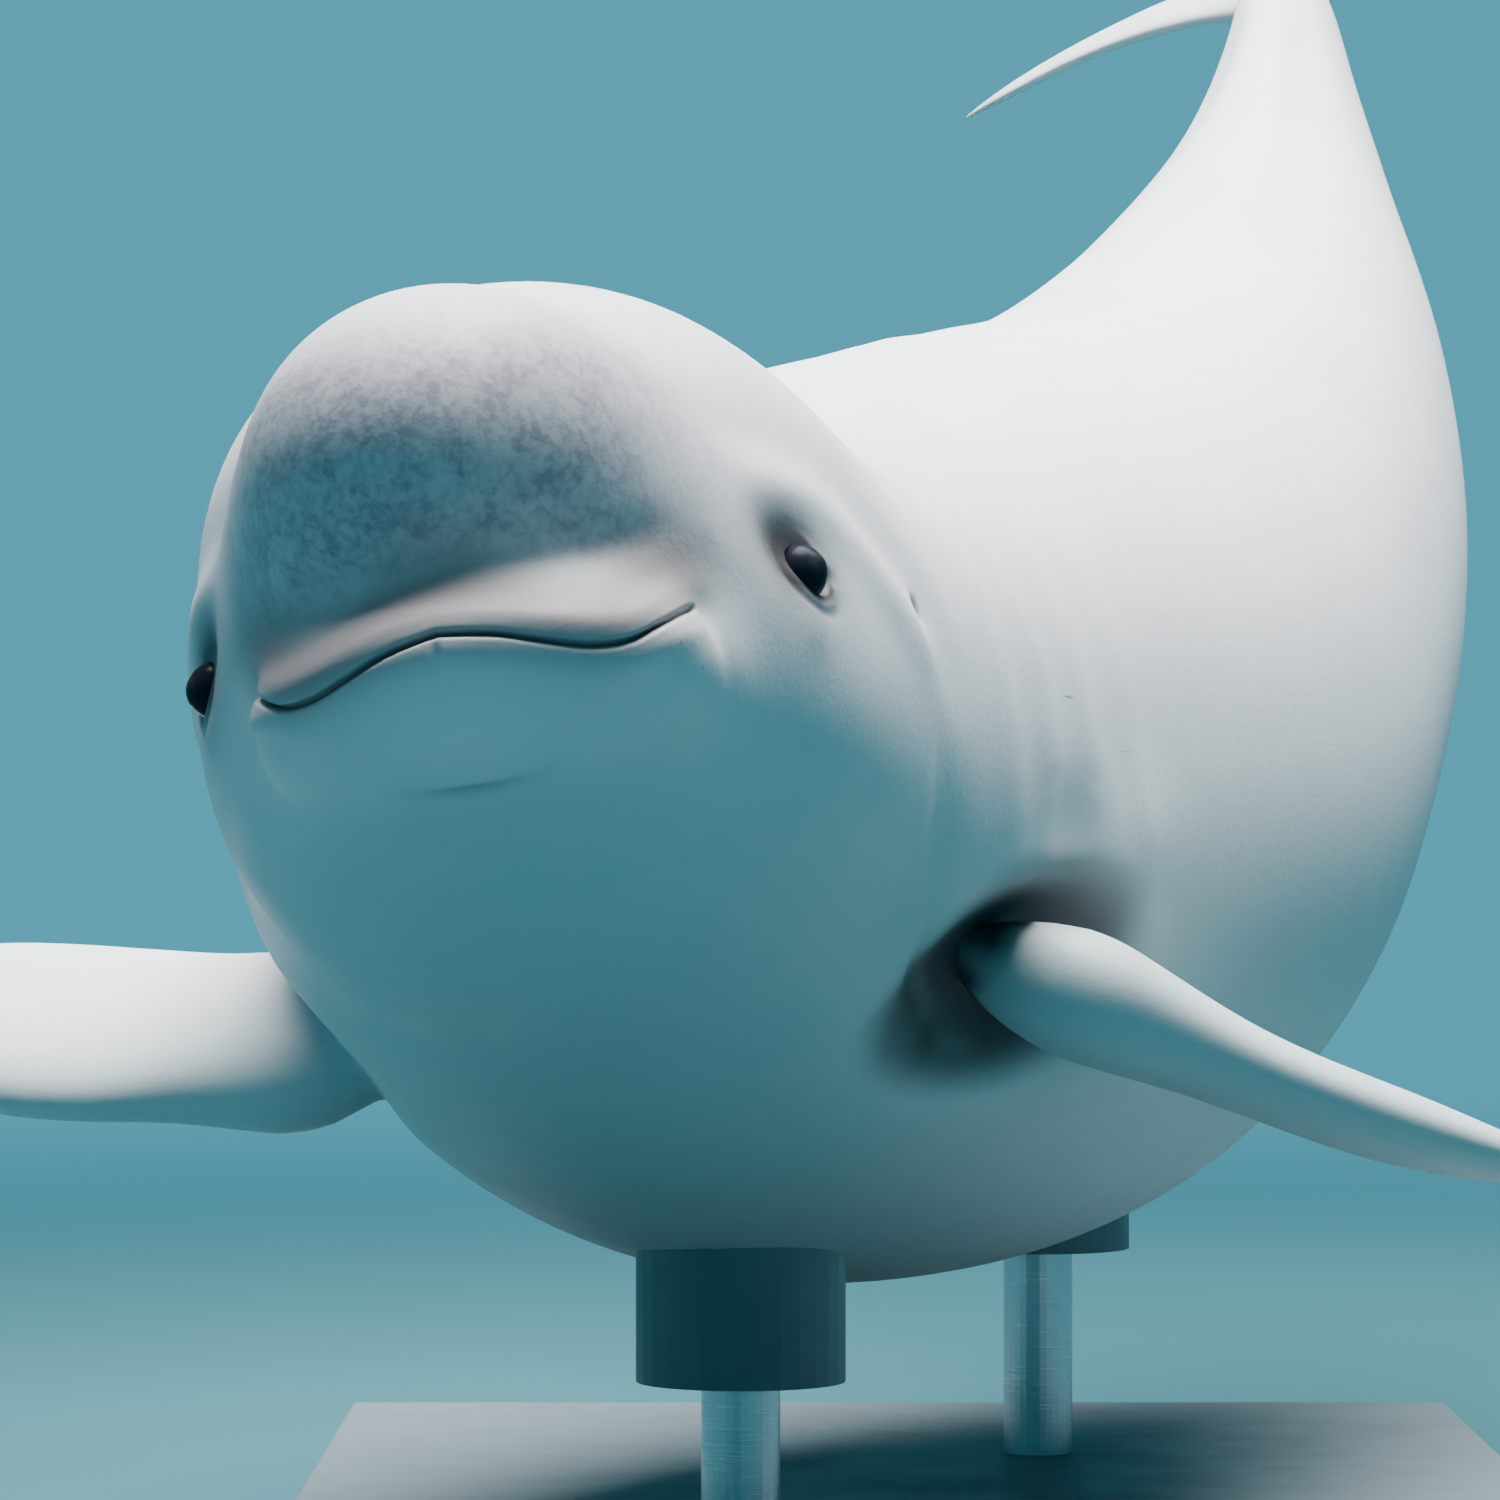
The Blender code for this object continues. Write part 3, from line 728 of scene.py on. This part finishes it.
def flipper_root_shade(p):
    """Painted shade: 1 deep in the fold round the left flipper's root, 0 away from it and on the
    flipper.
    """
    s, y, z = p[:, 0], p[:, 1], p[:, 2]
    ring = np.hypot((s - 0.925) / 0.200, (z + 0.195) / 0.085)
    off_skin = ease(body(p) - relief(p), 0.014, 0.032)
    return ease(y, 0.10, 0.16) * (1 - ease(ring, 0.60, 1.10)) * (1 - off_skin)


def markings(p):
    """How much of each colour the skin takes at each point, as shares from 0 to 1."""
    s, y, z = p[:, 0], p[:, 1], p[:, 2]
    above, angle = above_mouth(p)
    on_face = 1 - ease(s, 0.20, 0.34)
    # Mottling on the melon's front and lower half, partly the skin's own and partly painted shade
    # under the melon's overhang.
    melon_mottle_and_shade = (1 - ease(s, 0.18, 0.36)) * ease(z, -0.05, 0.0) * (1 - ease(z, 0.095, 0.180))
    melon_mottle_and_shade = melon_mottle_and_shade * (1 - 0.60 * ease(np.abs(y), 0.09, 0.19))
    # Painted shade: darker towards the belly, from the snout back.
    underside_shade = 0.80 * ease(-z, 0.02, 0.20) * ease(s, 0.0, 0.22)
    lip = (1 - ease(angle, 76, 108)) * bump(above, 0.024, 0.040) * on_face
    # Painted shade in the mouth slit.
    slit = 0.9 * bump(above, 0.0, 0.0020) * (1 - ease(angle, 79, 85)) * on_face
    back, up, out = eye_offsets(p)
    side = ease(out, 0.10, 0.15)
    upper_front = ease(up - back, -0.010, 0.020)
    # Painted shade in the eye's opening, reaching further out on its upper front side and into its
    # back corner, with some dark skin round it.
    eye_dark_and_shade = side * (1 - ease(eye_ring(p) - 0.45 * upper_front, 1.02, 1.42))
    corner = side * bump(np.hypot((back - 0.029) / 1.6, up - 0.001), 0, 0.007)
    # Grey skin and painted shade in the hollow in front of and above the eye.
    eye_grey_and_shade = 1.5 * side * bump(np.hypot((back + 0.014) / 1.4, up - 0.006), 0, 0.040)
    # Painted shade in the ear hole, the chin fold and the blowhole's slit.
    ear = 0.9 * bump(ear_distance(p), 0, 0.0095)
    # Painted shade in the fold round the left flipper's root, in both the grey and the dark layers.
    pit = flipper_root_shade(p)
    chin = 0.45 * chin_fold(p)
    hole = bump(s - BLOWHOLE_S - 9.0 * y * y, 0, 0.004) * (np.abs(y) < 0.029) * (z > 0.1)
    return {
        "mottle_and_shade": np.clip(melon_mottle_and_shade, 0, 1),
        "pink": np.clip(lip, 0, 1),
        "dark": np.clip(slit + eye_dark_and_shade + corner + ear + chin + hole + 0.55 * pit, 0, 1),
        "grey": np.clip(eye_grey_and_shade + pit, 0, 1),
        "shade": np.clip(underside_shade, 0, 1),
    }


def new_material(name):
    """A material, its node tree and its shader."""
    material = bpy.data.materials.new(name)
    material.use_nodes = True
    tree = material.node_tree
    return material, tree, tree.nodes["Principled BSDF"]


def attribute(tree, name, output="Fac"):
    node = tree.nodes.new("ShaderNodeAttribute")
    node.attribute_name = name
    return node.outputs[output]


def noise(tree, coordinates, scale, detail=3.0, roughness=0.5):
    node = tree.nodes.new("ShaderNodeTexNoise")
    tree.links.new(coordinates, node.inputs["Vector"])
    node.inputs["Scale"].default_value = scale
    node.inputs["Detail"].default_value = detail
    node.inputs["Roughness"].default_value = roughness
    return node.outputs["Fac"]


def spread(tree, value, low, high, out_low=0.0, out_high=1.0):
    """A value's range between low and high, stretched to another range and cut off there."""
    node = tree.nodes.new("ShaderNodeMapRange")
    tree.links.new(value, node.inputs["Value"])
    node.inputs["From Min"].default_value = low
    node.inputs["From Max"].default_value = high
    node.inputs["To Min"].default_value = out_low
    node.inputs["To Max"].default_value = out_high
    return node.outputs["Result"]


def times(tree, a, b):
    node = tree.nodes.new("ShaderNodeMath")
    node.operation = "MULTIPLY"
    for value, socket in zip((a, b), node.inputs):
        if isinstance(value, (int, float)):
            socket.default_value = value
        else:
            tree.links.new(value, socket)
    return node.outputs[0]


def tint(tree, under, colour, share):
    """A colour laid over another by a share."""
    node = tree.nodes.new("ShaderNodeMix")
    node.data_type = "RGBA"
    tree.links.new(share, node.inputs["Factor"])
    if isinstance(under, tuple):
        node.inputs["A"].default_value = under
    else:
        tree.links.new(under, node.inputs["A"])
    node.inputs["B"].default_value = colour
    return node.outputs["Result"]


def skin_material():
    """White skin with faint clouds, and where the markings say so grey mottling, pink lips and painted
    shade on the melon, the underside and in the folds and hollows.
    """
    material, tree, shader = new_material("white_skin")
    place = attribute(tree, "place", "Vector")
    clouds = spread(tree, noise(tree, place, 5.0, 4.0), 0.35, 0.70)
    blotch = spread(tree, noise(tree, place, 38.0, 4.0, 0.6), 0.40, 0.62)
    speck = spread(tree, noise(tree, place, 150.0, 3.0, 0.6), 0.42, 0.60)
    mottle_and_shade = times(tree, attribute(tree, "mottle_and_shade"), spread(tree, blotch, 0, 1, 0.68, 1.0))
    mottle_and_shade = times(tree, mottle_and_shade, spread(tree, speck, 0, 1, 0.80, 1.0))
    layers = (
        (CLOUDED_SKIN, clouds, 0.40),
        # Painted shade on the underside.
        (PAINTED_UNDERSIDE_SHADE, attribute(tree, "shade"), 0.85),
        # Mottling and painted shade on the melon.
        (MOTTLED_AND_SHADED_GREY, mottle_and_shade, 0.85),
        (PINK_LIPS, attribute(tree, "pink"), 0.92),
        # Grey skin and painted shade in the hollows.
        (GREY_AND_SHADED_HOLLOWS, attribute(tree, "grey"), 0.92),
        # Painted shade in the creases and holes, and dark skin round the eye.
        (DARK_AND_SHADED_CREASES, attribute(tree, "dark"), 0.92),
    )
    colour = WHITE_SKIN
    for paint, share, strength in layers:
        colour = tint(tree, colour, paint, times(tree, share, strength))
    tree.links.new(colour, shader.inputs["Base Color"])
    rough = spread(tree, noise(tree, place, 22.0, 3.0), 0.3, 0.7, 0.48, 0.62)
    tree.links.new(rough, shader.inputs["Roughness"])
    shader.inputs["Specular IOR Level"].default_value = 0.35
    shader.inputs["Subsurface Weight"].default_value = 0.08
    shader.inputs["Subsurface Radius"].default_value = (0.02, 0.012, 0.010)
    lumps = tree.nodes.new("ShaderNodeBump")
    lumps.inputs["Strength"].default_value = 0.20
    lumps.inputs["Distance"].default_value = 0.0004
    tree.links.new(speck, lumps.inputs["Height"])
    tree.links.new(lumps.outputs["Normal"], shader.inputs["Normal"])
    return material


def eye_material():
    """A dark wet eye with a faint ring of iris."""
    material, tree, shader = new_material("dark_eye")
    gaze = attribute(tree, "gaze")
    grain = noise(tree, attribute(tree, "place", "Vector"), 400.0, 3.0)
    iris = times(tree, spread(tree, gaze, 0.80, 0.90), spread(tree, gaze, 0.975, 0.962))
    colour = tint(tree, PUPIL, IRIS, times(tree, iris, grain))
    tree.links.new(colour, shader.inputs["Base Color"])
    shader.inputs["Roughness"].default_value = 0.25
    shader.inputs["Specular IOR Level"].default_value = 0.03
    return material


def eye(name, node, side):
    """An eyeball whose front stands out a little where it looks."""
    mesh = sphere(EYE_GRID)
    gaze = np.array(GAZE) * (1, side, 1)
    gaze = gaze / np.linalg.norm(gaze)
    ball = places_of(mesh)
    facing = ball @ gaze
    radius = EYE_RADIUS + CORNEA_RISE * ease(facing, 0.80, 0.98)
    straight = eye_centre(side) + ball * radius[:, None]
    move_to(mesh, bend(straight))
    face_out(mesh)
    piece = add(name, mesh, eye_material())
    mark(piece.data, straight, {"gaze": facing})
    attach(piece, "root")
    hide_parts(node)


def object_coordinates(tree):
    return tree.nodes.new("ShaderNodeTexCoord").outputs["Object"]


def plate_material():
    """Satin dark blue-grey paint."""
    material, tree, shader = new_material("stand_paint")
    place = object_coordinates(tree)
    cloud = spread(tree, noise(tree, place, 9.0, 4.0), 0.3, 0.7)
    tree.links.new(tint(tree, STAND_PAINT, STAND_PAINT_DARK, cloud), shader.inputs["Base Color"])
    tree.links.new(spread(tree, cloud, 0, 1, 0.42, 0.55), shader.inputs["Roughness"])
    peel = tree.nodes.new("ShaderNodeBump")
    peel.inputs["Strength"].default_value = 0.12
    peel.inputs["Distance"].default_value = 0.0005
    tree.links.new(noise(tree, place, 500.0, 2.0), peel.inputs["Height"])
    tree.links.new(peel.outputs["Normal"], shader.inputs["Normal"])
    return material


def steel_material():
    """Steel brushed along the rods."""
    material, tree, shader = new_material("stand_steel")
    stretch = tree.nodes.new("ShaderNodeMapping")
    stretch.inputs["Scale"].default_value = (1, 1, 60)
    tree.links.new(object_coordinates(tree), stretch.inputs["Vector"])
    lines = noise(tree, stretch.outputs["Vector"], 14.0, 4.0, 0.7)
    tree.links.new(tint(tree, STEEL, STEEL_DARK, lines), shader.inputs["Base Color"])
    tree.links.new(spread(tree, lines, 0.3, 0.7, 0.24, 0.40), shader.inputs["Roughness"])
    shader.inputs["Metallic"].default_value = 1.0
    return material


def finish_stand():
    plate, steel = plate_material(), steel_material()
    for name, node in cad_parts.items():
        if name.startswith("stand_"):
            node.data.materials.clear()
            node.data.materials.append(steel if "rod" in name else plate)


def floor_material():
    """Matt blue-green, with a soft glow far away that stands for a lit backdrop."""
    material, tree, shader = new_material("glowing_floor")
    place = object_coordinates(tree)
    cloud = spread(tree, noise(tree, place, 0.6, 3.0), 0.3, 0.7)
    tree.links.new(tint(tree, FLOOR_COLOUR, FLOOR_DARK, cloud), shader.inputs["Base Color"])
    shader.inputs["Roughness"].default_value = 0.9
    shader.inputs["Specular IOR Level"].default_value = 0.1
    length = tree.nodes.new("ShaderNodeVectorMath")
    length.operation = "LENGTH"
    tree.links.new(place, length.inputs[0])
    # Painted light: the dark floor glows by emission, more and more with distance, though it is no
    # lamp.
    glow = spread(tree, length.outputs["Value"], GLOW_START, GLOW_FULL, 0.22, 1.0)
    glow.node.interpolation_type = "SMOOTHSTEP"
    shader.inputs["Emission Color"].default_value = FLOOR_GLOW
    tree.links.new(times(tree, glow, FLOOR_GLOW_STRENGTH), shader.inputs["Emission Strength"])
    return material


def floor():
    """A round floor that curves up far away."""
    mesh = bmesh.new()
    bmesh.ops.create_circle(mesh, cap_ends=True, segments=96, radius=FLOOR_MIDDLE)
    edges = mesh.edges[:]
    rings = [
        (FLOOR_FLAT + FLOOR_CURVE * math.sin(turn), FLOOR_CURVE - FLOOR_CURVE * math.cos(turn))
        for turn in np.radians(range(0, 85, 6))
    ]
    radius = FLOOR_MIDDLE
    for far, high in rings:
        out = bmesh.ops.extrude_edge_only(mesh, edges=edges)
        moved = [item for item in out["geom"] if isinstance(item, bmesh.types.BMVert)]
        edges = [item for item in out["geom"] if isinstance(item, bmesh.types.BMEdge)]
        edges = [e for e in edges if e.verts[0] in moved and e.verts[1] in moved]
        bmesh.ops.scale(mesh, verts=moved, vec=(far / radius, far / radius, 1))
        for vertex in moved:
            vertex.co.z = high
        radius = far
    bmesh.ops.recalc_face_normals(mesh, faces=mesh.faces)
    piece = add("glowing_floor", mesh, floor_material())


def lamp(name, place, target, size, power, colour, spread_angle=180):
    light = bpy.data.lights.new(name, "AREA")
    light.shape = "RECTANGLE"
    light.size, light.size_y = size
    light.energy = power
    light.color = colour
    light.spread = math.radians(spread_angle)
    piece = bpy.data.objects.new(name, light)
    bpy.context.scene.collection.objects.link(piece)
    piece.location = place
    aim = Vector(target) - Vector(place)
    piece.rotation_euler = aim.to_track_quat("-Z", "Y").to_euler()


def lights():
    """A wide light from above, a weak one from the front left, and blue-green light all round."""
    lamp(
        "top_light", place=(0.2, 0.3, 4.4), target=(0.1, 0.1, 0.8), size=(3.2, 4.4),
        power=400, colour=(1.0, 0.99, 0.97), spread_angle=90,
    )
    lamp(
        "front_light", place=(-2.2, -4.0, 4.0), target=(0, -1.0, 0.8), size=(2.0, 1.5),
        power=7, colour=(0.92, 0.97, 1.0),
    )
    world = bpy.data.worlds.new("soft_room")
    bpy.context.scene.world = world
    world.use_nodes = True
    room = world.node_tree.nodes["Background"]
    room.inputs["Color"].default_value = ROOM_LIGHT
    room.inputs["Strength"].default_value = ROOM_STRENGTH


def camera():
    data = bpy.data.cameras.new("camera")
    data.lens = CAMERA_LENS
    data.sensor_width = CAMERA_SENSOR
    data.clip_end = 300
    piece = bpy.data.objects.new("camera", data)
    bpy.context.scene.collection.objects.link(piece)
    piece.location = CAMERA_PLACE
    piece.rotation_euler = (math.radians(90), 0, 0)
    bpy.context.scene.camera = piece


skin = whale_skin()
skin.data.materials.clear()
skin.data.materials.append(skin_material())
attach(skin, "root")
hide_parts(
    "head", "jaw", "neck", "chest", "belly", "flank", "tail_stock",
    "fluke_left", "fluke_right", "flipper_left", "flipper_right",
)
eye("eye_left_ball", "eye_left", 1)
eye("eye_right_ball", "eye_right", -1)
finish_stand()
floor()
lights()
camera()
